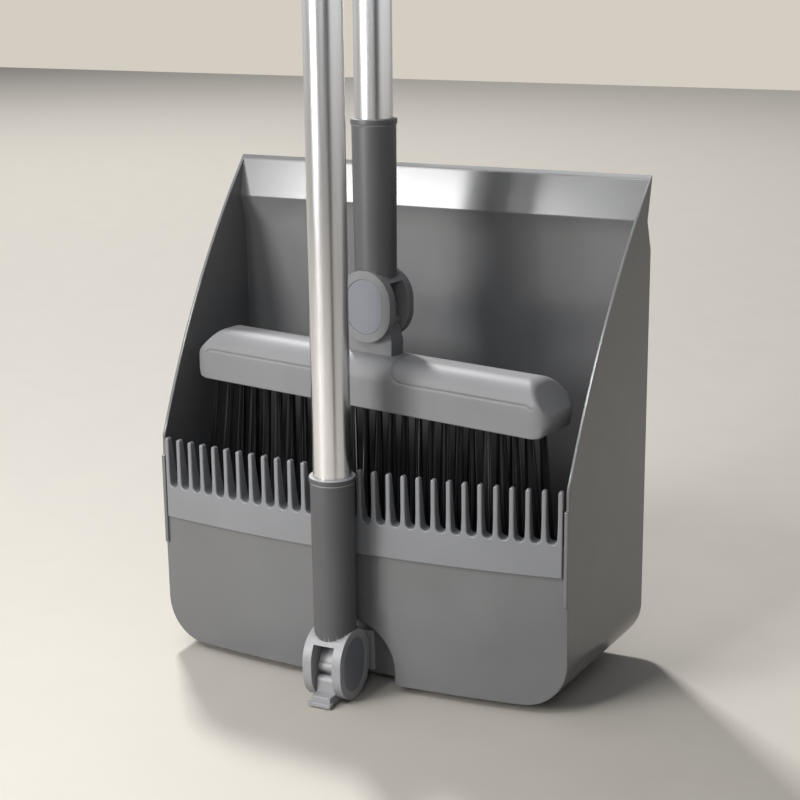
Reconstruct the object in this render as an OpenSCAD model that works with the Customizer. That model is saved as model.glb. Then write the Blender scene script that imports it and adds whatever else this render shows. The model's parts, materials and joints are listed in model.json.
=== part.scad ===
// Long-handled dustpan with a comb, and a broom stored upright inside it.
// Millimetres. X runs across the pan, Y runs from the front wall to the back panel, Z is up.
// The origin is the middle of the standing rim under the pan, on the surface it stands on.

/* [Pan] */
// Outside width of the pan at its back panel
pan_back_w = 276; // [272:1:280]
// Outside width of the pan at its front edges
pan_front_w = 266; // [262:1:270]
// Depth of the pan from its front edges to its back panel
pan_depth = 112; // [108:1:116]
// Height of the lip above the pan's underside
pan_h = 289; // [282:1:296]
// Wall thickness of the pan
pan_wall = 2; // [1.8:0.1:2.4]
// How far the middle of the front wall bows forward
front_bow = 11.5; // [10:0.5:12]
// Height of the front wall under the comb
front_wall_h = 97; // [94:1:99]
// Radius of the two bottom corners
corner_r = 26; // [22:1:28]
// Radius of the bottom rear edge
rear_r = 20; // [16:1:22]
// Height at which the sloping edge of a side wall starts
side_low_h = 130; // [126:1:134]
// How far the sloping edge bulges from a straight line
side_edge_bow = 9; // [6:0.5:9.5]
// Height of the ramp behind the lip
lip_ramp_h = 26; // [22:1:30]
// Height of the shallow groove under the ramp
lip_groove_h = 18; // [14:1:22]
// How far the crest of the ramp stands in from the back panel
lip_crest = 6; // [4:0.5:7]
// Height of the standing rim under the pan
foot_h = 5; // [5:0.5:7]

/* [Comb] */
// Number of teeth on the comb
tooth_count = 29; // [25:2:31]
// Width of the comb strip
comb_w = 260; // [256:1:261]
// Height of the lower edge of the comb strip above the pan's underside
comb_low_h = 79; // [76:1:82]
// Height of the tooth tips above the pan's underside
tooth_tip_h = 129.5; // [124:0.5:132]
// Thickness of a tooth across the pan
tooth_t = 2.6; // [2.2:0.1:3]
// How far the strip stands proud of the front wall
comb_t = 1.8; // [1.4:0.1:2.2]

/* [Hinges] */
// Height of the dustpan pivot above the floor
pan_pin_z = 21.6; // [21.4:0.1:23]
// Height of the broom pivot above the floor
broom_pin_z = 222.5; // [221:0.5:224]
// Width of a hinge housing along its pivot
housing_w = 24.8; // [24.6:0.1:25.6]
// Width of a hinge housing across its pivot
housing_d = 35.7; // [35:0.1:36]
// Height of the rounded cheeks of a hinge housing
housing_h = 42; // [41:0.5:42.5]
// Gap between the two cheeks
cheek_gap = 13.2; // [13:0.1:13.6]
// Radius of the pivot bolt
bolt_r = 3; // [2.8:0.1:3.2]
// Length of the dustpan handle's socket above its pivot
pan_socket_len = 113; // [108:1:118]
// Length of the broom handle's socket above its pivot
broom_socket_len = 107; // [100:1:112]

/* [Handles] */
// Outside diameter of the handle tubes
tube_d = 22; // [22:0.5:22.5]
// Wall thickness of the handle tubes
tube_t = 0.5; // [0.4:0.1:0.8]
// Distance from the pan's front edges forward to the dustpan handle
pan_pole_out = 26.7; // [26:0.1:28]
// Distance from the pan's front edges back to the broom handle
broom_pole_in = 30; // [28:0.5:32]
// Height of the top of the dustpan handle
pan_handle_top = 838; // [820:1:850]
// Height of the top of the broom handle
broom_handle_top = 868; // [860:1:880]
// Length of a hand grip
grip_len = 128; // [120:1:136]
// Radius of a hand grip
grip_r = 14; // [13.5:0.5:15]

/* [Broom head] */
// Length of the broom head
head_len = 248; // [243:1:248]
// Depth of the broom head at its skirt
head_d = 36; // [34:1:36]
// Height of the broom head
head_h = 30; // [28:1:30]
// Turn of the broom head away from the pan's front, in degrees
head_yaw = -7; // [-8:0.5:0]
// Tilt of the stored broom head, right end down, in degrees
head_roll = 1.2; // [0:0.1:1.5]
// Length of the bristles below the head
bristle_len = 99; // [92:1:102]

/* [Hidden] */
$fn = 64;

fine = 0.05;                // glued or pressed faces inside one body
gap = 0.4;                  // between pieces of different bodies
far = 400;                  // longer than anything that is trimmed

pan_grey = [0.36, 0.36, 0.37];
comb_grey = [0.56, 0.57, 0.59];
hinge_grey = [0.44, 0.44, 0.45];
cap_grey = [0.46, 0.47, 0.50];
head_grey = [0.60, 0.60, 0.61];
steel = [0.72, 0.72, 0.73];
screw_steel = [0.60, 0.60, 0.62];
bristle_black = [0.10, 0.10, 0.11];

front_y = -pan_depth / 2;
back_y = pan_depth / 2;
side_slant = atan((pan_back_w - pan_front_w) / 2 / pan_depth);
bow_r = (pow(pan_front_w / 2, 2) + pow(front_bow, 2)) / (2 * front_bow);
bow_y = front_y - front_bow + bow_r;

// Arc of the sloping side edges, from the front edge up to the lip
slope_run = pan_depth;
slope_rise = pan_h - side_low_h;
slope_len = norm([slope_run, slope_rise]);
slope_r = (pow(slope_len / 2, 2) + pow(side_edge_bow, 2)) / (2 * side_edge_bow);
slope_y = (slope_r - side_edge_bow) * slope_rise / slope_len;
slope_z = (side_low_h + pan_h) / 2 - (slope_r - side_edge_bow) * slope_run / slope_len;

// Arched recess in the front wall that the dustpan hinge stands in
recess_r = 30;
recess_z = 8;
recess_y = front_y + 1;

pan_pole_y = front_y - pan_pole_out;
broom_pole_y = front_y + broom_pole_in;
tube_r = tube_d / 2;
tongue_r = 9.5;
tongue_t = cheek_gap - 2 * gap;
socket_floor = 34;
cap_t = 1;
head_top = 28.2;            // below the broom pivot
head_crown_r = 14;          // long upper edges of the head
end_r = 5;                  // lower corners of the head's ends
end_in = 2.3;               // how far the lower corners stand in from the tips
end_tip_r = 6;              // rounded tips of the head's ends
end_tip_drop = 19.8;        // of the tips, below the crown
end_top_r = 6;              // upper corners of the head's ends
end_lean = 11;              // how far an end of the head leans in towards its top
block_in = 10;              // how far the bristle block stands in from the tips
end_plan_r = 9;             // upright edges of the head's ends
neck_w = 30;                // neck where it enters the head
screw_seat = 15;            // inside the head, below its crown
tube_joint_z = 440;         // between the lower and upper tubes
coupler_ring_h = 6;
clip_z = 590;
clip_h = 24;
screw_r = 1.6;

// ---- shared shapes ----

// A quadrant-like area that ends at x = side and z = low, with its corner rounded
module rounded_corner_area(side, low, r) {
    translate([side - far, low + r]) square([far, far]);
    translate([side - far, low]) square([far - r, far]);
    translate([side - r, low + r]) circle(r, $fn = 96);
}

// Stadium outline, w across and h tall
module stadium(w, h) {
    for (s = [-1, 1]) translate([0, s * (h - w) / 2]) circle(w / 2);
    square([w, h - w], center = true);
}

// Extrudes an outline drawn in Y and Z by t along X, about the middle
module along_x(t) {
    rotate([90, 0, 90]) linear_extrude(t, center = true) children();
}

module rod_x(r, x0, x1) {
    translate([x0, 0, 0]) rotate([0, 90, 0]) cylinder(r = r, h = x1 - x0);
}

module at_pan_pin() {
    translate([0, pan_pole_y, pan_pin_z]) children();
}

// Broom hinges have their pivot across the head, so the shared shapes are turned to face it
module at_broom_pin() {
    translate([0, broom_pole_y, broom_pin_z]) rotate([0, 0, head_yaw - 90]) children();
}

module at_head() {
    translate([0, broom_pole_y, broom_pin_z]) rotate([0, head_roll, head_yaw]) children();
}

// ---- pan ----

// Space on the inner side of the right side wall, above the floor
module right_trim(inset) {
    translate([pan_front_w / 2, front_y, 0]) rotate([0, 0, -side_slant]) rotate([90, 0, 0])
        linear_extrude(2 * far, center = true) rounded_corner_area(-inset, inset, corner_r - inset);
}

// The pan's envelope, moved inwards by inset; the front wall ends at front_top
module pan_block(inset, front_top) {
    intersection() {
        right_trim(inset);
        mirror([1, 0, 0]) right_trim(inset);
        along_x(2 * far) rounded_corner_area(back_y - inset, inset, rear_r - inset);
        union() {
            translate([0, bow_y, 0]) cylinder(r = bow_r - inset, h = far, $fn = 360);
            translate([-far, -far, front_top]) cube([2 * far, 2 * far, far]);
        }
    }
}

// Wedge that pushes the back panel in between its groove and the lip
module lip_wedge(inset) {
    crest_z = pan_h - lip_ramp_h;
    low_z = crest_z - lip_groove_h;
    along_x(2 * far)
        polygon([[back_y + 9, low_z - 27], [back_y - inset, low_z], [back_y - inset - lip_crest, crest_z],
                 [back_y - inset + 0.1, pan_h + 0.5], [back_y + 9, pan_h + 9]]);
}

module arch(r, y0, y1) {
    translate([0, y1, 0]) rotate([90, 0, 0]) linear_extrude(y1 - y0) intersection() {
        union() {
            translate([0, recess_z]) circle(r);
            translate([-r, -9]) square([2 * r, recess_z + 9]);
        }
        translate([-r, 0]) square([2 * r, far]);
    }
}

module foot_rim() {
    w = 200;
    d = 78;
    t = 3;
    rib_t = 6;
    rim_y = -7;
    translate([0, 0, -foot_h]) {
        difference() {
            translate([-w / 2, rim_y - d / 2, 0]) cube([w, d, foot_h + 1]);
            translate([-w / 2 + t, rim_y - d / 2 + t, -1]) cube([w - 2 * t, d - 2 * t, foot_h + 3]);
        }
        translate([-w / 2 + 1, -rib_t / 2, 0]) cube([w - 2, rib_t, foot_h + 1]);
    }
}

// Tabs at the front of the side walls that flank the comb strip
module comb_guards() {
    t = 2.4;
    h = 56;
    for (s = [-1, 1])
        translate([s * (pan_front_w - t) / 2 - t / 2, front_y - 2, 62]) cube([t, 4, h]);
}

module tongue_screw_holes(r, y0, y1) {
    for (x = [-9, 9], z = [9, 23])
        translate([x, y1, z]) rotate([90, 0, 0]) cylinder(r = r, h = y1 - y0);
}

module pan_shell() {
    color(pan_grey) translate([0, 0, foot_h]) difference() {
        union() {
            difference() {
                intersection() {
                    pan_block(0, far);
                    translate([0, slope_y, slope_z]) rod_x(slope_r, -far, far, $fn = 360);
                }
                lip_wedge(0);
                difference() {
                    pan_block(pan_wall, front_wall_h);
                    lip_wedge(pan_wall);
                }
            }
            intersection() {
                arch(recess_r + pan_wall, front_y - front_bow, recess_y + pan_wall);
                pan_block(0.01, far);
            }
            foot_rim();
            comb_guards();
        }
        arch(recess_r, front_y - 2 * front_bow, recess_y);
        tongue_screw_holes(screw_r + 0.1, recess_y - 1, recess_y + 2 * pan_wall);
    }
}

// A strip that follows the bowed front wall, from radius r0 to r1
module bowed_strip(r0, r1, w, z0, z1) {
    translate([0, 0, z0]) linear_extrude(z1 - z0) intersection() {
        translate([0, bow_y]) difference() {
            circle(r1, $fn = 360);
            circle(r0, $fn = 360);
        }
        translate([-w / 2, front_y - 30]) square([w, 60]);
    }
}

// One tooth: upright front edge, sloping rear edge and a round tip
module comb_tooth() {
    tip_r = 1.8;
    root_d = 9;
    root_z = front_wall_h + 0.5;
    along_x(tooth_t) union() {
        polygon([[0, root_z], [root_d, root_z], [root_d * 0.72, root_z + 8],
                 [2 * tip_r, tooth_tip_h - tip_r], [0, tooth_tip_h - tip_r]]);
        translate([tip_r, tooth_tip_h - tip_r]) circle(tip_r);
    }
}

module comb_strip() {
    top = front_wall_h + 1.6;
    outer_r = bow_r + comb_t;
    span = comb_w - tooth_t;
    color(comb_grey) translate([0, 0, foot_h]) {
        difference() {
            bowed_strip(bow_r - pan_wall - 1.6, outer_r, comb_w, front_wall_h - 10, top);
            bowed_strip(bow_r - pan_wall - fine, bow_r + fine, comb_w + 9, front_wall_h - 11,
                        front_wall_h + fine);
        }
        bowed_strip(bow_r + fine, outer_r, comb_w, comb_low_h, front_wall_h);
        for (i = [0 : tooth_count - 1]) {
            x = -span / 2 + i * span / (tooth_count - 1);
            translate([0, bow_y, 0]) rotate([0, 0, asin(x / outer_r)])
                translate([0, -outer_r, 0]) comb_tooth();
        }
    }
}

// ---- hinges, drawn with the pivot at the origin along X ----

module hinge_socket(socket_len) {
    rim_h = 3;
    cheek_x = housing_w / 2;
    head_r = 5.2;
    head_pocket = 2.65;
    color(hinge_grey) difference() {
        union() {
            along_x(housing_w) stadium(housing_d, housing_h);
            rotate_extrude() polygon([
                [0, 13], [12.2, 13], [12.8, socket_len - rim_h - 1],
                [13.4, socket_len - rim_h], [13.4, socket_len - 0.6], [12.9, socket_len], [0, socket_len]
            ]);
        }
        translate([-cheek_gap / 2, -far / 2, -far / 2]) cube([cheek_gap, far, far / 2 + 13.9]);
        translate([0, 0, socket_floor]) cylinder(r = tube_r + fine, h = far);
        rod_x(bolt_r + fine, -far, far);
        for (s = [-1, 1]) {
            translate([s * cheek_x, 0, 0]) along_x(2 * cap_t) stadium(25, 32);
            rod_x(head_r, s > 0 ? cheek_x - cap_t - head_pocket : -far,
                  s > 0 ? far : -cheek_x + cap_t + head_pocket);
        }
    }
}

// Oval cover over the end of the pivot bolt; s is the side it sits on
module hinge_cap(s) {
    color(cap_grey) translate([s * (housing_w / 2 - cap_t / 2 - 0.1), 0, 0])
        along_x(cap_t - 0.2) stadium(25 - 4 * fine, 32 - 4 * fine);
}

module pivot_bolt() {
    seat = housing_w / 2 - cap_t - 2.65;
    color(screw_steel) {
        rod_x(bolt_r, -seat - 2.4, seat + 0.6);
        difference() {
            rod_x(4.8, seat + 0.55, seat + 2.5);
            rod_x(1.6, seat + 1.4, seat + 3, $fn = 6);
        }
    }
}

module pivot_nut() {
    seat = housing_w / 2 - cap_t - 2.65;
    color(screw_steel) difference() {
        rod_x(4.7, -seat - 2.4, -seat - 0.6, $fn = 6);
        rod_x(bolt_r + fine, -far, far);
    }
}

module pivot_washers() {
    seat = housing_w / 2 - cap_t - 2.65;
    color(screw_steel) for (s = [-1, 1]) difference() {
        rod_x(4.9, s > 0 ? seat + 0.02 : -seat - 0.52, s > 0 ? seat + 0.52 : -seat - 0.02);
        rod_x(bolt_r + fine, -far, far);
    }
}

// Two rounded detent ridges on the front of a tongue
module detent_ridges() {
    for (at = [[-8, -0.5], [-9.8, -8.6]])
        translate([0, at[0], at[1]]) rod_x(3.2, -tongue_t / 2, tongue_t / 2);
}

// Tongue on the pan: pivot eye, arm, screw flange and the toe that the folded handle comes down on
module pan_hinge_tongue() {
    flange_y = recess_y - pan_pole_y;
    toe_z = -housing_d / 2 - gap;
    toe_bottom = -pan_pin_z + 0.8;
    arm_top = 7;
    color(hinge_grey) at_pan_pin() difference() {
        union() {
            rod_x(tongue_r, -tongue_t / 2, tongue_t / 2);
            detent_ridges();
            translate([-tongue_t / 2, 0, toe_bottom]) cube([tongue_t, flange_y, arm_top - toe_bottom]);
            translate([-tongue_t / 2, -20.5, toe_bottom]) cube([tongue_t, 29, toe_z - toe_bottom]);
            translate([-tongue_t / 2, -13, toe_bottom]) cube([tongue_t, 14, -toe_bottom - 8.6]);
            translate([-tongue_t / 2, -19.5, toe_bottom]) cube([tongue_t, 12, -toe_bottom - 15]);
            translate([-7.2, -21.5, toe_bottom]) cube([14.4, 4.5, toe_z - toe_bottom]);
            translate([-12, flange_y - 3, foot_h + 3 - pan_pin_z]) cube([24, 3, 25]);
        }
        rod_x(bolt_r + 0.08, -far, far);
        translate([0, -pan_pole_y, foot_h - pan_pin_z])
            tongue_screw_holes(screw_r, recess_y - 2.6, recess_y + 1);
    }
}

module pan_tongue_screws() {
    color(screw_steel) translate([0, 0, foot_h]) {
        tongue_screw_holes(screw_r - fine, recess_y - 2.5, recess_y + pan_wall + 0.1);
        tongue_screw_holes(2.8, recess_y + pan_wall + fine, recess_y + pan_wall + 1.6);
    }
}

// Neck of the broom head: pivot eye over an arm that widens and is let into the head
module broom_neck() {
    arm_bottom = -head_top - 4;
    color(hinge_grey) at_head() difference() {
        union() {
            rotate([0, 0, 90]) {
                rod_x(tongue_r, -tongue_t / 2, tongue_t / 2);
                detent_ridges();
            }
            rotate([90, 0, 0]) linear_extrude(tongue_t, center = true)
                polygon([[-neck_w / 2, arm_bottom], [neck_w / 2, arm_bottom], [neck_w / 2, -20], [13, -14],
                         [tongue_r, 0], [-tongue_r, 0], [-13, -14], [-neck_w / 2, -20]]);
        }
        rotate([0, 0, 90]) rod_x(bolt_r + 0.08, -far, far);
        neck_screw_holes(screw_r, arm_bottom - 1, -head_top + 3);
    }
}

// Holes along the head's two neck screws
module neck_screw_holes(r, z0, z1) {
    for (x = [-8, 8]) translate([x, 0, z0]) cylinder(r = r, h = z1 - z0);
}

// ---- handles, drawn about their own axis ----

module tube(z0, z1) {
    color(steel) translate([0, 0, z0]) difference() {
        cylinder(r = tube_r, h = z1 - z0, $fn = 96);
        translate([0, 0, -1]) cylinder(r = tube_r - tube_t, h = z1 - z0 + 2, $fn = 96);
    }
}

module tube_coupler() {
    plug_r = tube_r - tube_t - fine;
    plug_len = 24;
    color(hinge_grey) translate([0, 0, tube_joint_z]) difference() {
        union() {
            cylinder(r = tube_r, h = coupler_ring_h);
            translate([0, 0, -plug_len]) cylinder(r = plug_r, h = coupler_ring_h + 2 * plug_len);
        }
        translate([0, 0, -plug_len - 1]) cylinder(r = plug_r - 2, h = coupler_ring_h + 2 * plug_len + 2);
    }
}

// Hollow grip over the top of a tube, with three shallow finger grooves
module grip(top) {
    low = top - 28 - grip_len;
    color(pan_grey) translate([0, 0, low]) difference() {
        rotate_extrude() difference() {
            polygon([[0, 0], [grip_r - 1.6, 0], [grip_r - 0.4, 2], [grip_r, 8], [grip_r - 0.6, grip_len / 2],
                     [grip_r, grip_len - 8], [grip_r, grip_len], [0, grip_len]]);
            for (i = [0 : 2]) translate([grip_r + 6.6, 34 + i * 26]) circle(8);
        }
        translate([0, 0, -1]) cylinder(r = tube_r + fine, h = grip_len + 2);
    }
}

// Flattened end of a handle with a hanging hole through it
module grip_end(top) {
    low = top - 28;
    hole_z = top - 14;
    eye_t = 10;
    color(hinge_grey) difference() {
        union() {
            translate([0, 0, low]) cylinder(r = grip_r, h = 6);
            translate([0, 0, low - 20]) cylinder(r = tube_r - tube_t - fine, h = 21);
            translate([0, 0, hole_z]) {
                rod_x(14, -eye_t / 2, eye_t / 2);
                translate([-eye_t / 2, -13.5, low - hole_z + 2]) cube([eye_t, 27, hole_z - low - 2]);
            }
        }
        translate([0, 0, hole_z]) rod_x(6, -far, far);
    }
}

module pan_pole() { translate([0, pan_pole_y, 0]) children(); }
module broom_pole() { translate([0, broom_pole_y, 0]) children(); }

// Ring on the dustpan tube with an open jaw around the front of the broom tube
module storage_clip() {
    spacing = broom_pole_y - pan_pole_y;
    ring_r = tube_r + 3.5;
    jaw_in = tube_r + gap;
    color(hinge_grey) pan_pole() translate([0, 0, clip_z]) difference() {
        union() {
            cylinder(r = ring_r, h = clip_h);
            translate([-5, ring_r - 2, 0]) cube([10, spacing - ring_r - jaw_in, clip_h]);
            translate([0, spacing, 0]) cylinder(r = jaw_in + 2.6, h = clip_h);
        }
        translate([0, 0, -1]) cylinder(r = tube_r + fine, h = clip_h + 2);
        translate([0, spacing, -1]) cylinder(r = jaw_in, h = clip_h + 2);
        translate([-far / 2, spacing, -1]) cube([far, far, clip_h + 2]);
        clip_screw_hole(screw_r, -7);
    }
}

module clip_screw_hole(r, depth) {
    translate([0, -tube_r - 3.5 + 1, clip_h / 2]) rotate([90, 0, 0])
        translate([0, 0, depth + 4]) cylinder(r = r, h = 6);
}

module clip_screw() {
    color(screw_steel) pan_pole() translate([0, 0, clip_z + clip_h / 2]) rotate([90, 0, 0]) {
        translate([0, 0, tube_r + 0.1]) cylinder(r = screw_r - fine, h = 3.5);
        translate([0, 0, tube_r + 3.5]) cylinder(r = 2.8, h = 1.4);
    }
}

// ---- broom head ----

// End view of the head: rounded crown over a nearly upright skirt
module head_section(inset) {
    half = head_d / 2 - inset;
    crown_r = head_crown_r - inset;
    intersection() {
        union() {
            translate([-half, -head_top - head_h]) square([2 * half, head_h - head_crown_r]);
            for (s = [-1, 1]) translate([s * (half - crown_r), -head_top - inset - crown_r]) circle(crown_r);
            translate([-half + crown_r, -head_top - head_crown_r - 1])
                square([2 * (half - crown_r), head_crown_r + 1 - inset]);
        }
        translate([-far, -head_top - head_h]) square([2 * far, far]);
    }
}

// Front view of the head: each end leans in above its tip, and all corners are rounded
module head_outline(inset) {
    low = -head_top - head_h;
    tip = head_len / 2;
    low_x = tip - end_in - end_r;
    hull() for (s = [-1, 1]) {
        translate([s * low_x, low + end_r]) circle(end_r - inset, $fn = 32);
        translate([s * (tip - end_tip_r), -head_top - end_tip_drop]) circle(end_tip_r - inset, $fn = 32);
        translate([s * (tip - end_lean - end_top_r), -head_top - end_top_r])
            circle(end_top_r - inset, $fn = 32);
        translate([s * low_x - 1, low + (inset > 0 ? -1 : 0)]) square([2, 1]);
    }
}

// Top view of the head
module head_plan(inset) {
    r = end_plan_r - inset;
    x = head_len / 2 - end_plan_r;
    y = head_d / 2 - end_plan_r;
    for (sx = [-1, 1], sy = [-1, 1]) translate([sx * x, sy * y]) circle(r);
    square([2 * (x + r), 2 * y], center = true);
    square([2 * x, 2 * (y + r)], center = true);
}

module head_solid(inset) {
    intersection() {
        translate([0, 0, -far]) linear_extrude(far) head_plan(inset);
        along_x(head_len + 9) head_section(inset);
        rotate([90, 0, 0]) linear_extrude(head_d + 9, center = true) head_outline(inset);
    }
}

module head_cover() {
    wall = 2;
    color(head_grey) at_head() difference() {
        head_solid(0);
        difference() {
            head_solid(wall);
            translate([-17, -far / 2, -far]) cube([34, far, 2 * far]);
        }
        translate([-19, wall - head_d / 2, -far - head_top - screw_seat])
            cube([38, head_d - 2 * wall, far]);
        translate([-neck_w / 2 - fine, -tongue_t / 2 - fine, -head_top - 4 - fine])
            cube([neck_w + 2 * fine, tongue_t + 2 * fine, 9]);
        neck_screw_holes(screw_r + 0.2, -head_top - head_h, -head_top);
    }
}

module head_screws() {
    color(screw_steel) at_head() {
        neck_screw_holes(screw_r - fine, -head_top - screw_seat - 0.1, -head_top + 2.6);
        neck_screw_holes(2.8, -head_top - screw_seat - 1.6, -head_top - screw_seat - fine);
    }
}

module bristle_block() {
    color(bristle_black) at_head() translate([0, 0, -head_top - head_h + 1])
        difference() {
            translate([block_in - head_len / 2, -15.5, 0]) cube([head_len - 2 * block_in, 31, 9]);
            neck_screw_holes(3.4, -1, 12);
        }
}

// Two rows of bristles that spread towards their tips
module bristles() {
    top = -head_top - head_h + 1;
    low = top - bristle_len;
    row_t = 5;
    color(bristle_black) at_head() for (y = [-11, 6])
        translate([0, y + row_t, 0]) rotate([90, 0, 0]) linear_extrude(row_t)
            polygon([[-112, top], [112, top], [122, low], [-122, low]]);
}

pan_shell();
comb_strip();
pan_hinge_tongue();
pan_tongue_screws();
at_pan_pin() hinge_socket(pan_socket_len);  // pan_hinge_socket
at_pan_pin() hinge_cap(-1);  // pan_hinge_cap_left
at_pan_pin() hinge_cap(1);  // pan_hinge_cap_right
at_pan_pin() pivot_bolt();  // pan_pivot_bolt
at_pan_pin() pivot_nut();  // pan_pivot_nut
at_pan_pin() pivot_washers();  // pan_pivot_washers
pan_pole() tube(pan_pin_z + socket_floor, tube_joint_z);  // pan_lower_tube
pan_pole() tube_coupler();  // pan_tube_coupler
pan_pole() tube(tube_joint_z + coupler_ring_h, pan_handle_top - 28);  // pan_upper_tube
pan_pole() grip(pan_handle_top);  // pan_grip
pan_pole() grip_end(pan_handle_top);  // pan_grip_end
storage_clip();
clip_screw();
at_broom_pin() hinge_socket(broom_socket_len);  // broom_hinge_socket
at_broom_pin() hinge_cap(1);  // broom_hinge_cap_front
at_broom_pin() hinge_cap(-1);  // broom_hinge_cap_back
at_broom_pin() pivot_bolt();  // broom_pivot_bolt
at_broom_pin() pivot_nut();  // broom_pivot_nut
at_broom_pin() pivot_washers();  // broom_pivot_washers
broom_pole() tube(broom_pin_z + socket_floor, tube_joint_z);  // broom_lower_tube
broom_pole() tube_coupler();  // broom_tube_coupler
broom_pole() tube(tube_joint_z + coupler_ring_h, broom_handle_top - 28);  // broom_upper_tube
broom_pole() grip(broom_handle_top);  // broom_grip
broom_pole() grip_end(broom_handle_top);  // broom_grip_end
broom_neck();
head_cover();
bristle_block();
bristles();
head_screws();
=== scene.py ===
import json
import math
import random

import bmesh
import bpy
from mathutils import Matrix, Vector


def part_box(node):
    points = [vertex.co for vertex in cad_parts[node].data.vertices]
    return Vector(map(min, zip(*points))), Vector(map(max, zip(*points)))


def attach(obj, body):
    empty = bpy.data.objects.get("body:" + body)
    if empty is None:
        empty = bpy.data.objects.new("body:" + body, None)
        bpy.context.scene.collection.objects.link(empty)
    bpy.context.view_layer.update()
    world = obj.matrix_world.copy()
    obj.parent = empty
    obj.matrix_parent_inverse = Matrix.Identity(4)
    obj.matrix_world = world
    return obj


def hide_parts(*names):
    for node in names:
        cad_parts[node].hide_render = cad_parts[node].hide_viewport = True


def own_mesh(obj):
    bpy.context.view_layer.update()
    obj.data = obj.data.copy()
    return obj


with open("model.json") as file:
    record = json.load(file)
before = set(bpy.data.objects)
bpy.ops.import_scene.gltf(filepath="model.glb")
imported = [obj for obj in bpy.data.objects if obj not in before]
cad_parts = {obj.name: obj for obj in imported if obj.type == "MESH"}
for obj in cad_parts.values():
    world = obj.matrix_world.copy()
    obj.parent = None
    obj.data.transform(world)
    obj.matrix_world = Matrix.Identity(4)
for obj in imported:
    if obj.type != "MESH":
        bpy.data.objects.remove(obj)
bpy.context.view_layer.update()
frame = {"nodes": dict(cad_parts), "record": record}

# Camera, in metres and degrees: yaw from straight ahead, looking down, a slight roll
CAMERA_AT = Vector((0.4615, -0.9112, 0.4287))
CAMERA_YAW = 26.78
CAMERA_PITCH = 14.83
CAMERA_ROLL = -0.607
CAMERA_LENS = 78.98

# The front wall's bow, measured from the comb strip that follows it
COMB_LOW, COMB_HIGH = (Vector(v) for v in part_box("comb_strip"))
FRONT_BOW = 0.0115
FRONT_HALF_W = 0.133
BOW_R = (FRONT_HALF_W ** 2 + FRONT_BOW ** 2) / (2 * FRONT_BOW)
COMB_FRONT_R = BOW_R + 0.0018
BOW_Y = COMB_LOW.y + COMB_FRONT_R
WALL_TOP = 0.10205
COMB_PLATE = 0.00175
TEETH = 29
TOOTH_HALF = 0.0014
SHELF = 0.0002

# Hinge sockets: the pan's pivot, and the sleeve's radius where it rises out of its housing
PAN_PIN = Vector((0, -0.0827, 0.0216))
SLEEVE_FROM = 0.024
SLEEVE_LOW_R = 0.01225

# The broom head's own frame: its pivot, its turn and its tilt
HEAD_PIVOT = Vector((0, -0.026, 0.2225))
HEAD_YAW = math.radians(-7)
HEAD_ROLL = math.radians(1.2)
HEAD_TURN = Matrix.Rotation(HEAD_YAW, 4, "Z") @ Matrix.Rotation(HEAD_ROLL, 4, "Y")
HEAD = Matrix.Translation(HEAD_PIVOT) @ HEAD_TURN
HEAD_HALF_D = 0.018
HEAD_TOP = -0.0282
HEAD_LOW = -0.0582
CROWN_R = 0.014
FLAT_STEPS = 8
# Points along the crown's arc, in degrees, closer together round the crease
CROWN_ARC = [6 * k for k in range(10)] + [60 + 1.5 * k for k in range(21)]
# Circles (along, up, radius) that the head's right end is drawn round
END_CIRCLES = [(0.1167, -0.0532, 0.005), (0.1180, -0.0480, 0.006), (0.1070, -0.0342, 0.006)]
# Half length, rounding of the ends in top view, and rounding of the edge round each end
HEAD_TIP = 0.124
END_PLAN_R = 0.009
END_EDGE_R = 0.0022
# The crease round each crown panel: its ends along the head, its distance down the section from the
# crown's middle, the radii of its inner and outer corners, and its depth and half width
CREASE_START = 0.0205
CREASE_END = 0.1095
CREASE_ALONG = 0.0238
CREASE_INNER_R = 0.0085
CREASE_OUTER_R = 0.005
CREASE_DEPTH = 0.00055
CREASE_HALF_W = 0.0006
BRISTLE_LEN = 0.099


# ---- helpers ----

def add_piece(name, mesh, body, slot, materials, *nodes):
    piece = bpy.data.objects.new(name, mesh)
    bpy.context.scene.collection.objects.link(piece)
    for material in materials:
        mesh.materials.append(material)
    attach(piece, body)
    if nodes:
        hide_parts(*nodes)
    return piece


def mesh_from(bm, name, smooth_angle=32):
    mesh = bpy.data.meshes.new(name)
    bm.to_mesh(mesh)
    bm.free()
    mesh.shade_smooth()
    mesh.set_sharp_from_angle(angle=math.radians(smooth_angle))
    return mesh


def even_shading(piece):
    weighted = piece.modifiers.new("even shading", "WEIGHTED_NORMAL")
    weighted.keep_sharp = True


def bevel_sharp(bm, width, segments, angle, convex_only):
    sharp = [e for e in bm.edges if len(e.link_faces) == 2 and e.calc_face_angle(0) > math.radians(angle)
             and (e.is_convex or not convex_only)]
    bmesh.ops.bevel(bm, geom=sharp, offset=width, segments=segments, profile=0.5, affect="EDGES",
                    clamp_overlap=False)


def soften(node, width, materials, slot, segments=3, angle=28, convex_only=True):
    """A moulded or turned twin of a CAD node: the same solid with its sharp edges rounded."""
    bm = bmesh.new()
    bm.from_mesh(frame["nodes"][node].data)
    bmesh.ops.remove_doubles(bm, verts=bm.verts, dist=1e-6)
    bmesh.ops.dissolve_limit(bm, angle_limit=math.radians(0.5), verts=bm.verts, edges=bm.edges)
    bevel_sharp(bm, width, segments, angle, convex_only)
    bmesh.ops.dissolve_degenerate(bm, dist=1e-6, edges=bm.edges)
    body = next(b for b, nodes in frame["record"]["behaviour"]["bodies"].items() if node in nodes)
    piece = add_piece(node + "_moulded", mesh_from(bm, node), body, slot, materials, node)
    even_shading(piece)
    return piece


# ---- materials ----

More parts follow.
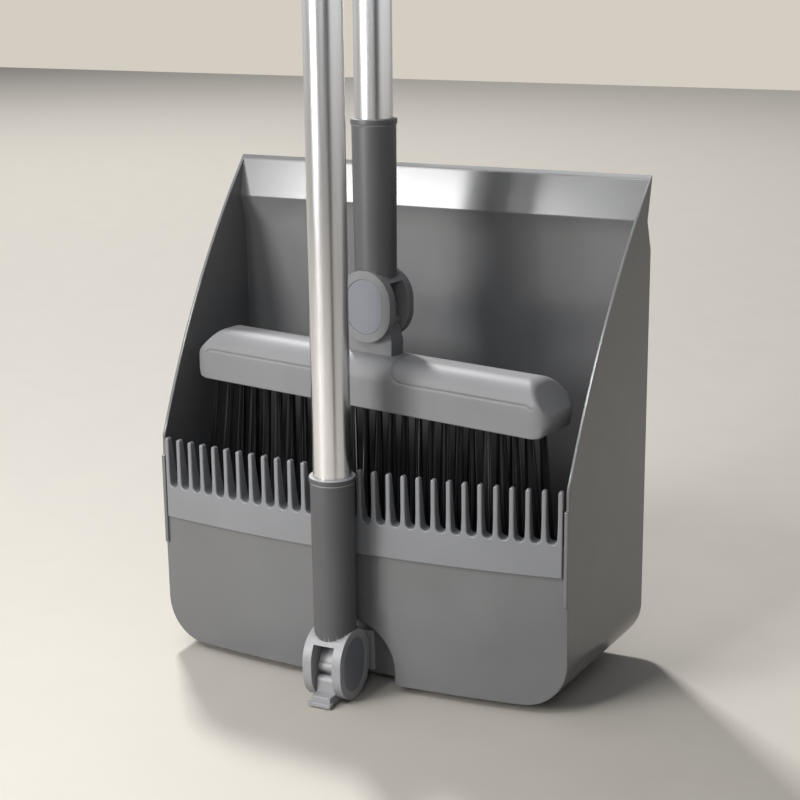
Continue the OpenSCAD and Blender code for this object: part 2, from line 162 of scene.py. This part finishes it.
def plastic(name, colour, roughness, grain=0.00004, grain_scale=2600, blotch=0.06, specular=0.5, coat=0.0):
    """Moulded plastic: slow tone drift, uneven gloss and a fine moulded grain."""
    material = bpy.data.materials.new(name)
    material.use_nodes = True
    nodes = material.node_tree.nodes
    links = material.node_tree.links
    shader = nodes["Principled BSDF"]
    shader.inputs["Specular IOR Level"].default_value = specular
    shader.inputs["Coat Weight"].default_value = coat
    shader.inputs["Coat Roughness"].default_value = 0.12
    place = nodes.new("ShaderNodeTexCoord")
    drift = nodes.new("ShaderNodeTexNoise")
    drift.inputs["Scale"].default_value = 22
    drift.inputs["Detail"].default_value = 5
    tone = nodes.new("ShaderNodeValToRGB")
    tone.color_ramp.elements[0].position = 0.3
    tone.color_ramp.elements[1].position = 0.7
    tone.color_ramp.elements[0].color = [c * (1 - blotch) for c in colour] + [1]
    tone.color_ramp.elements[1].color = [c * (1 + blotch) for c in colour] + [1]
    gloss = nodes.new("ShaderNodeMapRange")
    gloss.inputs["To Min"].default_value = roughness - 0.05
    gloss.inputs["To Max"].default_value = roughness + 0.05
    fine = nodes.new("ShaderNodeTexNoise")
    fine.inputs["Scale"].default_value = grain_scale
    fine.inputs["Detail"].default_value = 2
    bump = nodes.new("ShaderNodeBump")
    bump.inputs["Strength"].default_value = 0.5
    bump.inputs["Distance"].default_value = grain
    links.new(place.outputs["Object"], drift.inputs["Vector"])
    links.new(place.outputs["Object"], fine.inputs["Vector"])
    links.new(drift.outputs["Fac"], tone.inputs["Fac"])
    links.new(tone.outputs["Color"], shader.inputs["Base Color"])
    links.new(drift.outputs["Fac"], gloss.inputs["Value"])
    links.new(gloss.outputs["Result"], shader.inputs["Roughness"])
    links.new(fine.outputs["Fac"], bump.inputs["Height"])
    links.new(bump.outputs["Normal"], shader.inputs["Normal"])
    return material


def metal(name, colour, roughness, streak_scale, streaks=0.05):
    """Drawn steel: fine streaks along Z and a little unevenness in the polish."""
    material = bpy.data.materials.new(name)
    material.use_nodes = True
    nodes = material.node_tree.nodes
    links = material.node_tree.links
    shader = nodes["Principled BSDF"]
    shader.inputs["Metallic"].default_value = 1
    place = nodes.new("ShaderNodeTexCoord")
    stretch = nodes.new("ShaderNodeMapping")
    stretch.inputs["Scale"].default_value = (streak_scale, streak_scale, streak_scale / 60)
    streak = nodes.new("ShaderNodeTexNoise")
    streak.inputs["Scale"].default_value = 1
    streak.inputs["Detail"].default_value = 4
    tone = nodes.new("ShaderNodeValToRGB")
    tone.color_ramp.elements[0].position = 0.25
    tone.color_ramp.elements[1].position = 0.75
    tone.color_ramp.elements[0].color = [c * (1 - streaks) for c in colour] + [1]
    tone.color_ramp.elements[1].color = [c * (1 + streaks) for c in colour] + [1]
    gloss = nodes.new("ShaderNodeMapRange")
    gloss.inputs["To Min"].default_value = roughness - 0.04
    gloss.inputs["To Max"].default_value = roughness + 0.06
    bump = nodes.new("ShaderNodeBump")
    bump.inputs["Strength"].default_value = 0.25
    bump.inputs["Distance"].default_value = 0.00002
    links.new(place.outputs["Object"], stretch.inputs["Vector"])
    links.new(stretch.outputs["Vector"], streak.inputs["Vector"])
    links.new(streak.outputs["Fac"], tone.inputs["Fac"])
    links.new(tone.outputs["Color"], shader.inputs["Base Color"])
    links.new(streak.outputs["Fac"], gloss.inputs["Value"])
    links.new(gloss.outputs["Result"], shader.inputs["Roughness"])
    links.new(streak.outputs["Fac"], bump.inputs["Height"])
    links.new(bump.outputs["Normal"], shader.inputs["Normal"])
    return material


PAN = plastic("pan_plastic", (0.115, 0.115, 0.117), 0.24, grain=0.00002, coat=0.15)
COMB = plastic("comb_plastic", (0.165, 0.168, 0.175), 0.40, grain=0.00002)
# One hinge plastic in two tones. The lighter copy is painted light, on the pan's hinge, couplers, grip
# ends and clip. The darker copy is painted shade, on the broom's hinge socket and neck.
HINGE_LIT_COPY = plastic("hinge_plastic", (0.23, 0.23, 0.235), 0.45, grain=0.00018, grain_scale=1500, blotch=0.12)
HINGE_SHADED_COPY = plastic("hinge_plastic_shaded_copy", (0.13, 0.13, 0.134), 0.5, grain=0.00014, grain_scale=1500,
                      blotch=0.1)
# Sleeve plastic: the socket's round sleeve is painted darker than its housing, as painted shade.
SLEEVE_PAINTED_SHADE = plastic("sleeve_plastic_painted_shade", (0.060, 0.060, 0.062), 0.42, grain=0.00003)
CAP = plastic("cap_plastic", (0.135, 0.14, 0.16), 0.32, grain=0.00001)
HEAD_SHELL = plastic("head_plastic", (0.150, 0.150, 0.153), 0.55, grain=0.00002, specular=0.35)
GRIP = plastic("grip_plastic", (0.09, 0.09, 0.093), 0.6, grain=0.0001, grain_scale=1200)
BLOCK = plastic("block_plastic", (0.03, 0.03, 0.031), 0.5)
BRISTLE = plastic("bristle_plastic", (0.008, 0.008, 0.009), 0.42, grain=0, blotch=0.3, specular=0.3)
# Lighter strands: a painted highlight that stands in for the sheen along the black bristles.
BRISTLE_PAINTED_HIGHLIGHT = plastic("bristle_painted_highlight", (0.12, 0.12, 0.125), 0.35, grain=0, blotch=0.3)
STEEL = metal("tube_steel", (0.74, 0.74, 0.745), 0.24, 900)
ZINC = metal("screw_steel", (0.55, 0.55, 0.57), 0.34, 2500, 0.12)


# ---- comb ----

def on_bow(s, z, depth):
    """The point s along the front wall's bow and depth behind the comb's front face."""
    a = s / COMB_FRONT_R
    r = COMB_FRONT_R - depth
    return Vector((r * math.sin(a), BOW_Y - r * math.cos(a), z))


def comb_outline():
    """Front outline of the comb in (s, z), anticlockwise from its lower left corner."""
    half_s = COMB_FRONT_R * math.asin(COMB_HIGH.x / COMB_FRONT_R)
    pitch = 2 * (half_s - TOOTH_HALF) / (TEETH - 1)
    flare = 0.0003
    notch_r = pitch / 2 - TOOTH_HALF - flare
    notch_z = WALL_TOP + 0.0016 + notch_r
    tip_z = COMB_HIGH.z - TOOTH_HALF
    centres = [-half_s + TOOTH_HALF + i * pitch for i in range(TEETH)]
    points = [(s, COMB_LOW.z) for s in [-half_s] + centres[1:-1] + [half_s]]
    points += [(half_s, WALL_TOP), (half_s, WALL_TOP + SHELF)]
    for i in reversed(range(TEETH)):
        c = centres[i]
        points.append((half_s if i == TEETH - 1 else c + TOOTH_HALF + flare, notch_z))
        points.append((c + TOOTH_HALF, notch_z + 0.008))
        for k in range(9):
            a = math.pi * k / 8
            points.append((c + TOOTH_HALF * math.cos(a), tip_z + TOOTH_HALF * math.sin(a)))
        points.append((c - TOOTH_HALF, notch_z + 0.008))
        points.append((-half_s if i == 0 else c - TOOTH_HALF - flare, notch_z))
        if i > 0:
            for k in range(1, 10):
                a = math.pi * k / 10
                points.append((c - pitch / 2 + notch_r * math.cos(a), notch_z - notch_r * math.sin(a)))
    points += [(-half_s, WALL_TOP + SHELF), (-half_s, WALL_TOP)]
    return points, centres[1:-1]


def inset_outline(points, by):
    """The closed outline moved inwards by a distance."""
    moved = []
    for before, here, after in zip(points[-1:] + points[:-1], points, points[1:] + points[:1]):
        a = (Vector(here) - Vector(before)).normalized()
        b = (Vector(after) - Vector(here)).normalized()
        across = Vector((-a.y - b.y, a.x + b.x)).normalized()
        stretch = 1 / max(0.7, across.dot(Vector((-a.y, a.x))))
        moved.append(tuple(Vector(here) + across * by * stretch))
    return moved


def fin_depth(z):
    """Depth of the comb at height z: a thin plate below the wall's top, tapering fins above it."""
    if z < WALL_TOP + SHELF / 2:
        return COMB_PLATE
    t = max(0.0, min(1.0, (z - WALL_TOP) / (COMB_HIGH.z - WALL_TOP)))
    return 0.009 + (0.0036 - 0.009) * t ** 0.8


def make_comb():
    outline, shelf_s = comb_outline()
    front_r, back_r = 0.0008, 0.0004
    round_steps = 4
    count = len(outline)
    bm = bmesh.new()
    depth = bm.verts.layers.float.new("depth")

    def vert(point, d):
        made = bm.verts.new((point[0], point[1], 0))
        made[depth] = d
        return made

    rings = []
    for k in reversed(range(round_steps + 1)):
        a = math.pi / 2 * k / round_steps
        ring = inset_outline(outline, front_r * (1 - math.cos(a)))
        rings.append([vert(point, front_r * (1 - math.sin(a))) for point in ring])
    rings.append([vert((s, z), fin_depth(z) - back_r) for s, z in outline])
    inner = inset_outline(outline, back_r)
    rings.append([vert(point, fin_depth(z)) for point, (s, z) in zip(inner, outline)])
    for a, b in zip(rings, rings[1:]):
        for i in range(count):
            j = (i + 1) % count
            bm.faces.new((a[j], a[i], b[i], b[j]))
    # both sides are closed in two parts: the plate up to the wall's top, and the teeth above it
    right = len(shelf_s) + 2
    front, back = rings[0], rings[-1]
    middle = [front[-1]] + [vert((s, WALL_TOP), 0) for s in shelf_s] + [front[right]]
    shelf_low = [back[-1]] + [vert((s, WALL_TOP), COMB_PLATE) for s in shelf_s] + [back[right]]
    shelf_high = [back[-2]] + [vert((s, WALL_TOP + SHELF), fin_depth(WALL_TOP + SHELF)) for s in shelf_s]
    shelf_high.append(back[right + 1])
    for i in range(len(middle) - 1):
        bm.faces.new((front[i], front[i + 1], middle[i + 1], middle[i]))
        bm.faces.new((back[i], back[i + 1], shelf_low[i + 1], shelf_low[i]))
        bm.faces.new((shelf_low[i], shelf_low[i + 1], shelf_high[i + 1], shelf_high[i]))
    caps = [bm.faces.new(middle + front[right + 1:-1]), bm.faces.new(shelf_high + back[right + 2:-2])]
    for cap in caps:
        cap.normal_update()
    bmesh.ops.triangulate(bm, faces=caps, ngon_method="BEAUTY")
    for v in bm.verts:
        v.co = on_bow(v.co.x, v.co.y, v[depth])
    bmesh.ops.recalc_face_normals(bm, faces=bm.faces)
    piece = add_piece("comb_with_scoops", mesh_from(bm, "comb", 40), "dustpan", "comb_plastic", [COMB],
                      "comb_strip")
    even_shading(piece)


# ---- broom head ----

def head_section(inset):
    """Half of the head's end view as (y, z) from the crown's middle down to the skirt's edge."""
    half = HEAD_HALF_D - inset
    r = CROWN_R - inset
    flat_half = half - r
    centre_z = HEAD_TOP - CROWN_R
    points = [(flat_half * i / FLAT_STEPS, centre_z + r) for i in range(FLAT_STEPS)]
    points += [(flat_half + r * math.sin(a), centre_z + r * math.cos(a))
               for a in map(math.radians, CROWN_ARC)]
    skirt = centre_z - HEAD_LOW
    points += [(half, centre_z - skirt * i / 24) for i in range(1, 25)]
    return points


def end_profile():
    """The outline of the head's right end as (reach, height), from the bottom up."""
    profile = []
    for k in range(361):
        a = math.radians(k / 2 - 90)
        n = Vector((math.cos(a), math.sin(a)))
        x, z, r = max(END_CIRCLES, key=lambda c: c[0] * n.x + c[1] * n.y + c[2])
        profile.append((x + r * n.x, z + r * n.y))
    return profile


def profile_reach(z, profile):
    """Half length of the head's front outline at height z."""
    for (x0, z0), (x1, z1) in zip(profile, profile[1:]):
        if z0 <= z <= z1 and z1 > z0:
            return x0 + (x1 - x0) * (z - z0) / (z1 - z0)
    return profile[0][0] if z < profile[0][1] else profile[-1][0]


def head_reach(y, front_reach):
    """Half length of the head at depth y: its front outline blended with the rounded top view."""
    beyond = min(END_PLAN_R, max(0.0, abs(y) - HEAD_HALF_D + END_PLAN_R))
    plan_reach = HEAD_TIP - END_PLAN_R + math.sqrt(END_PLAN_R ** 2 - beyond ** 2)
    blend = max(1e-6, min(0.002, HEAD_TIP - plan_reach))
    overlap = max(0.0, 1 - abs(front_reach - plan_reach) / blend)
    return min(front_reach, plan_reach) - blend * overlap ** 2 / 4


def groove_depth(x, along):
    """Depth of the crease at x, at a distance along the section from the crown's middle."""
    x = abs(x)
    if x < CREASE_START + CREASE_INNER_R:
        from_corner = math.hypot(x - CREASE_START - CREASE_INNER_R, along - CREASE_ALONG + CREASE_INNER_R)
        past_corner = along > CREASE_ALONG - CREASE_INNER_R
        d = abs(from_corner - CREASE_INNER_R) if past_corner else abs(x - CREASE_START)
    elif x < CREASE_END:
        d = abs(along - CREASE_ALONG)
    elif along < CREASE_ALONG + CREASE_OUTER_R:
        d = abs(math.hypot(x - CREASE_END, along - CREASE_ALONG - CREASE_OUTER_R) - CREASE_OUTER_R)
    else:
        d = abs(x - CREASE_END - CREASE_OUTER_R) + 0.01
    return CREASE_DEPTH * math.exp(-(d / CREASE_HALF_W) ** 2)


def close_end(bm, loop, side, profile):
    """Closes an end of the head with rows of faces across it, rounded in top view."""
    section = list(reversed(head_section(END_EDGE_R)))
    columns = 2 * FLAT_STEPS
    crown = len(section) - 1
    rows = []
    for i, (half_y, z) in enumerate(section[:crown - FLAT_STEPS]):
        front_reach = profile_reach(z, profile)
        row = [loop[i]]
        for k in range(1, columns):
            y = half_y * (2 * k / columns - 1)
            row.append(bm.verts.new(HEAD @ Vector((side * head_reach(y, front_reach), y, z))))
        rows.append(row + [loop[-1 - i]])
    rows.append(loop[crown - FLAT_STEPS:crown + FLAT_STEPS + 1])
    for low, high in zip(rows, rows[1:]):
        for k in range(columns):
            bm.faces.new((low[k], low[k + 1], high[k + 1], high[k]))


def make_head():
    half_points = head_section(0)
    profile = end_profile()
    along = [0.0]
    for (y0, z0), (y1, z1) in zip(half_points, half_points[1:]):
        along.append(along[-1] + math.hypot(y1 - y0, z1 - z0))
    count = len(half_points)
    order = [(-1, i) for i in reversed(range(1, count))] + [(1, i) for i in range(count)]
    body_steps = 420
    round_steps = 5
    stations = [("round", -1, k) for k in reversed(range(1, round_steps + 1))]
    stations += [("body", 0, k) for k in range(body_steps + 1)]
    stations += [("round", 1, k) for k in range(1, round_steps + 1)]
    bm = bmesh.new()
    loops = []
    for kind, side, k in stations:
        loop = []
        a = math.pi / 2 * k / round_steps if kind == "round" else 0.0
        inset = END_EDGE_R * (1 - math.cos(a)) if kind == "round" else 0.0
        section = head_section(inset)
        front_reach = [profile_reach(z, profile) for y, z in section]
        for sign, i in order:
            y, z = section[i]
            y *= sign
            reach = head_reach(y, front_reach[i]) - END_EDGE_R
            if kind == "round":
                x = side * (reach + END_EDGE_R * math.sin(a))
            else:
                x = (-1 + 2 * k / body_steps) * reach
                dent = groove_depth(x, along[i])
                outer = section[i]
                normal = Vector((0, 0, 1))
                if outer[1] < HEAD_TOP - CROWN_R + 1e-6:
                    normal = Vector((0, sign, 0))
                elif outer[0] > HEAD_HALF_D - CROWN_R:
                    normal = Vector((0, sign * (outer[0] - HEAD_HALF_D + CROWN_R),
                                     outer[1] - HEAD_TOP + CROWN_R)).normalized()
                y -= normal.y * dent
                z -= normal.z * dent
            loop.append(bm.verts.new(HEAD @ Vector((x, y, z))))
        loops.append(loop)
    for a, b in zip(loops, loops[1:]):
        for i in range(len(order) - 1):
            bm.faces.new((a[i], a[i + 1], b[i + 1], b[i]))
    close_end(bm, loops[0], -1, profile)
    close_end(bm, loops[-1], 1, profile)
    bmesh.ops.recalc_face_normals(bm, faces=bm.faces)
    mesh = mesh_from(bm, "head_cover", 40)
    piece = add_piece("head_cover_moulded", mesh, "broom_head", "head_plastic", [HEAD_SHELL], "head_cover")
    wall = piece.modifiers.new("wall", "SOLIDIFY")
    wall.thickness = 0.002
    wall.offset = -1
    wall.use_even_offset = False


def make_bristles():
    """Rows of tufts whose strands spread towards their tips; the outer tufts lean outwards."""
    random.seed(7)
    rows = [(-0.0100, 25, 0), (-0.0035, 24, 0.5), (0.0035, 25, 0), (0.0100, 24, 0.5)]
    strands = 30
    root_half = 0.1105
    pitch = 2 * root_half / 24
    root_r = 0.0014
    sides = [2 * math.pi * k / 3 for k in range(3)]
    top = HEAD_LOW + 0.002
    bm = bmesh.new()
    for row_y, tufts, shift in rows:
        for t in range(tufts):
            tuft_x = -root_half + (t + shift) * pitch
            lean = 0.0098 * (tuft_x / root_half) ** 3 + random.uniform(-0.001, 0.001)
            for strand in range(strands):
                angle = random.uniform(0, 2 * math.pi)
                r = root_r * math.sqrt(random.random())
                root = Vector((tuft_x + r * math.cos(angle), row_y + r * math.sin(angle)))
                spread = random.uniform(1.6, 3.4)
                tip_x = tuft_x + (root.x - tuft_x) * spread + lean + random.uniform(-0.0006, 0.0006)
                tip_y = max(-0.0118, min(0.0118, row_y + (root.y - row_y) * spread))
                length = BRISTLE_LEN * random.uniform(0.965, 0.995)
                bend = random.uniform(-0.0008, 0.0008)
                rings = []
                for k in range(5):
                    f = k / 4
                    centre = Vector((root.x + (tip_x - root.x) * f + bend * math.sin(math.pi * f),
                                     root.y + (tip_y - root.y) * f, top - length * f))
                    radius = 0.00032 * (1 - 0.45 * f)
                    rings.append([bm.verts.new(HEAD @ (centre + Vector((
                        radius * math.cos(a + angle), radius * math.sin(a + angle), 0)))) for a in sides])
                faces = [bm.faces.new(rings[0]), bm.faces.new(reversed(rings[-1]))]
                for a, b in zip(rings, rings[1:]):
                    for k in range(3):
                        faces.append(bm.faces.new((a[k], b[k], b[(k + 1) % 3], a[(k + 1) % 3])))
                # The first strand of each tuft takes the lighter material: a painted highlight.
                for face in faces:
                    face.material_index = 1 if strand == 0 else 0
    bmesh.ops.recalc_face_normals(bm, faces=bm.faces)
    piece = add_piece("bristle_tufts", mesh_from(bm, "bristles", 80), "broom_head", "bristle_plastic",
                      [BRISTLE, BRISTLE_PAINTED_HIGHLIGHT], "bristles")
    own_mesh(piece)


# ---- studio ----

def make_camera():
    yaw, pitch, roll = (math.radians(a) for a in (CAMERA_YAW, CAMERA_PITCH, CAMERA_ROLL))
    back = Vector((math.sin(yaw) * math.cos(pitch), -math.cos(yaw) * math.cos(pitch), math.sin(pitch)))
    right = Vector((math.cos(yaw), math.sin(yaw), 0))
    up = back.cross(right)
    across = right * math.cos(roll) + up * math.sin(roll)
    upright = up * math.cos(roll) - right * math.sin(roll)
    camera = bpy.data.objects.new("camera", bpy.data.cameras.new("camera"))
    camera.matrix_world = Matrix((
        (across.x, upright.x, back.x, CAMERA_AT.x),
        (across.y, upright.y, back.y, CAMERA_AT.y),
        (across.z, upright.z, back.z, CAMERA_AT.z),
        (0, 0, 0, 1),
    ))
    camera.data.lens = CAMERA_LENS
    camera.data.sensor_width = 36
    bpy.context.scene.collection.objects.link(camera)
    bpy.context.scene.camera = camera


def area_light(name, at, target, size, watts, colour=(1, 1, 1)):
    data = bpy.data.lights.new(name, "AREA")
    data.shape = "RECTANGLE"
    data.size, data.size_y = size
    data.energy = watts
    data.color = colour
    light = bpy.data.objects.new(name, data)
    light.location = at
    light.rotation_euler = (Vector(target) - Vector(at)).to_track_quat("-Z", "Y").to_euler()
    light.visible_camera = False
    bpy.context.scene.collection.objects.link(light)


def make_floor():
    mesh = bpy.data.meshes.new("floor")
    mesh.from_pydata([(-4, -4, 0), (4, -4, 0), (4, 4, 0), (-4, 4, 0)], [], [(0, 1, 2, 3)])
    floor = bpy.data.objects.new("floor", mesh)
    bpy.context.scene.collection.objects.link(floor)
    mesh.materials.append(plastic("floor", (0.36, 0.335, 0.30), 0.6, grain=0, blotch=0.02, specular=0.2))


def make_card():
    """Dark upright card near the camera that is seen only in reflections."""
    mesh = bpy.data.meshes.new("card")
    corners = [(0.33, -0.44, 0), (0.40, -0.36, 0), (0.40, -0.36, 0.7), (0.33, -0.44, 0.7)]
    mesh.from_pydata(corners, [], [(0, 1, 2, 3)])
    card = bpy.data.objects.new("card", mesh)
    bpy.context.scene.collection.objects.link(card)
    mesh.materials.append(plastic("card", (0.03, 0.03, 0.03), 0.8, grain=0, blotch=0.02, specular=0.1))
    card.visible_camera = False
    card.visible_diffuse = False
    card.visible_shadow = False


def make_world():
    """Soft backdrop. Polished pieces see bright and dark upright strips in it, as in a photo studio."""
    world = bpy.data.worlds.new("world")
    world.use_nodes = True
    nodes = world.node_tree.nodes
    links = world.node_tree.links
    background = nodes["Background"]
    place = nodes.new("ShaderNodeTexCoord")
    split = nodes.new("ShaderNodeSeparateXYZ")
    heading = nodes.new("ShaderNodeMath")
    heading.operation = "ARCTAN2"
    turn = nodes.new("ShaderNodeMapRange")
    turn.inputs["From Min"].default_value = -math.pi
    turn.inputs["From Max"].default_value = math.pi
    strips = nodes.new("ShaderNodeValToRGB")
    strips.color_ramp.interpolation = "EASE"
    stops = [(-180, 0.7), (-135, 0.3), (-100, 0.2), (-72, 0.5), (-50, 0.10), (-34, 0.12), (-16, 1.0),
             (45, 0.95), (75, 0.4), (180, 0.7)]
    for degrees, level in stops[1:-1]:
        strips.color_ramp.elements.new((degrees + 180) / 360)
    for element, (degrees, level) in zip(strips.color_ramp.elements, stops):
        element.position = (degrees + 180) / 360
        element.color = (level, level, level, 1)
    path = nodes.new("ShaderNodeLightPath")
    soft = nodes.new("ShaderNodeMix")
    soft.data_type = "RGBA"
    soft.inputs["A"].default_value = (0.19, 0.20, 0.215, 1)
    seen = nodes.new("ShaderNodeMix")
    seen.data_type = "RGBA"
    seen.inputs["B"].default_value = (0.66, 0.61, 0.54, 1)
    links.new(place.outputs["Generated"], split.inputs["Vector"])
    links.new(split.outputs["Y"], heading.inputs[0])
    links.new(split.outputs["X"], heading.inputs[1])
    links.new(heading.outputs["Value"], turn.inputs["Value"])
    links.new(turn.outputs["Result"], strips.inputs["Fac"])
    links.new(path.outputs["Is Glossy Ray"], soft.inputs["Factor"])
    links.new(strips.outputs["Color"], soft.inputs["B"])
    links.new(soft.outputs["Result"], seen.inputs["A"])
    links.new(path.outputs["Is Camera Ray"], seen.inputs["Factor"])
    links.new(seen.outputs["Result"], background.inputs["Color"])
    bpy.context.scene.world = world


def make_plain_pieces():
    # The lighter hinge plastic here is painted light; the broom neck's darker one is painted shade.
    plain = [
        ("pan_hinge_tongue", 0.0004, HINGE_LIT_COPY, "hinge_plastic"),
        ("pan_tube_coupler", 0.0003, HINGE_LIT_COPY, "hinge_plastic"),
        ("broom_tube_coupler", 0.0003, HINGE_LIT_COPY, "hinge_plastic"),
        ("pan_grip", 0.0004, GRIP, "grip_plastic"),
        ("broom_grip", 0.0004, GRIP, "grip_plastic"),
        ("pan_grip_end", 0.0012, HINGE_LIT_COPY, "hinge_plastic"),
        ("broom_grip_end", 0.0012, HINGE_LIT_COPY, "hinge_plastic"),
        ("storage_clip", 0.0005, HINGE_LIT_COPY, "hinge_plastic"),
        ("broom_neck", 0.0005, HINGE_SHADED_COPY, "hinge_plastic"),
        ("bristle_block", 0.0005, BLOCK, "block_plastic"),
    ]
    for node, width, material, slot in plain:
        soften(node, width, [material], slot)
    soften("pan_shell", 0.0006, [PAN], "pan_plastic", convex_only=False)
    for node in ("pan_hinge_cap_left", "pan_hinge_cap_right", "broom_hinge_cap_front",
                 "broom_hinge_cap_back"):
        soften(node, 0.00025, [CAP], "cap_plastic")
    for node in ("pan_tongue_screws", "head_screws", "clip_screw", "pan_pivot_bolt", "broom_pivot_bolt",
                 "pan_pivot_nut", "broom_pivot_nut", "pan_pivot_washers", "broom_pivot_washers"):
        soften(node, 0.00012, [ZINC], "screw_steel", segments=2)


def make_sockets():
    """Hinge sockets: a textured housing, painted light on the pan's and painted shade on the broom's,
    under a smoother sleeve painted darker as shade.
    """
    for node, pin, housing in (("pan_hinge_socket", PAN_PIN, HINGE_LIT_COPY),
                               ("broom_hinge_socket", HEAD_PIVOT, HINGE_SHADED_COPY)):
        socket = soften(node, 0.0003, [housing, SLEEVE_PAINTED_SHADE], "hinge_plastic")
        vertices = socket.data.vertices
        for face in socket.data.polygons:
            middle = face.center - pin
            outward = Vector((middle.x, middle.y, 0))
            corners = [vertices[i].co - pin for i in face.vertices]
            on_sleeve = all(abs(corner.xy.length - SLEEVE_LOW_R) < 0.0002 for corner in corners
                            if corner.z < SLEEVE_FROM)
            # Sleeve faces take the darker material: painted shade.
            if middle.z > SLEEVE_FROM / 2 and face.normal.dot(outward.normalized()) > 0.9 and on_sleeve:
                face.material_index = 1


def finish_tubes():
    for node in ("pan_lower_tube", "pan_upper_tube", "broom_lower_tube", "broom_upper_tube"):
        mesh = frame["nodes"][node].data
        for i in range(max(1, len(mesh.materials))):
            if len(mesh.materials):
                mesh.materials[i] = STEEL
            else:
                mesh.materials.append(STEEL)


make_camera()
make_floor()
make_card()
make_world()
bpy.context.scene.view_settings.view_transform = "Standard"
area_light("key", (-0.55, -1.05, 0.48), (0, 0, 0.2), (0.34, 0.34), 12)
area_light("fill", (0.45, -1.1, 0.75), (0, 0.05, 0.25), (0.5, 0.5), 2.5, colour=(0.9, 0.95, 1))
area_light("top", (-0.5, -0.2, 2.3), (0, 0, 0.2), (0.8, 0.8), 12)
area_light("back", (-2.2, 2.3, 3.4), (0, 0, 0.1), (0.5, 0.5), 240)
area_light("lip_left", (-0.66, -0.91, 1.22), (-0.05, 0.05, 0.28), (0.46, 0.30), 7.8)
area_light("lip_right", (-0.21, -0.91, 1.17), (0.10, 0.05, 0.28), (0.16, 0.30), 5.8)
make_plain_pieces()
make_sockets()
finish_tubes()
make_comb()
make_head()
make_bristles()
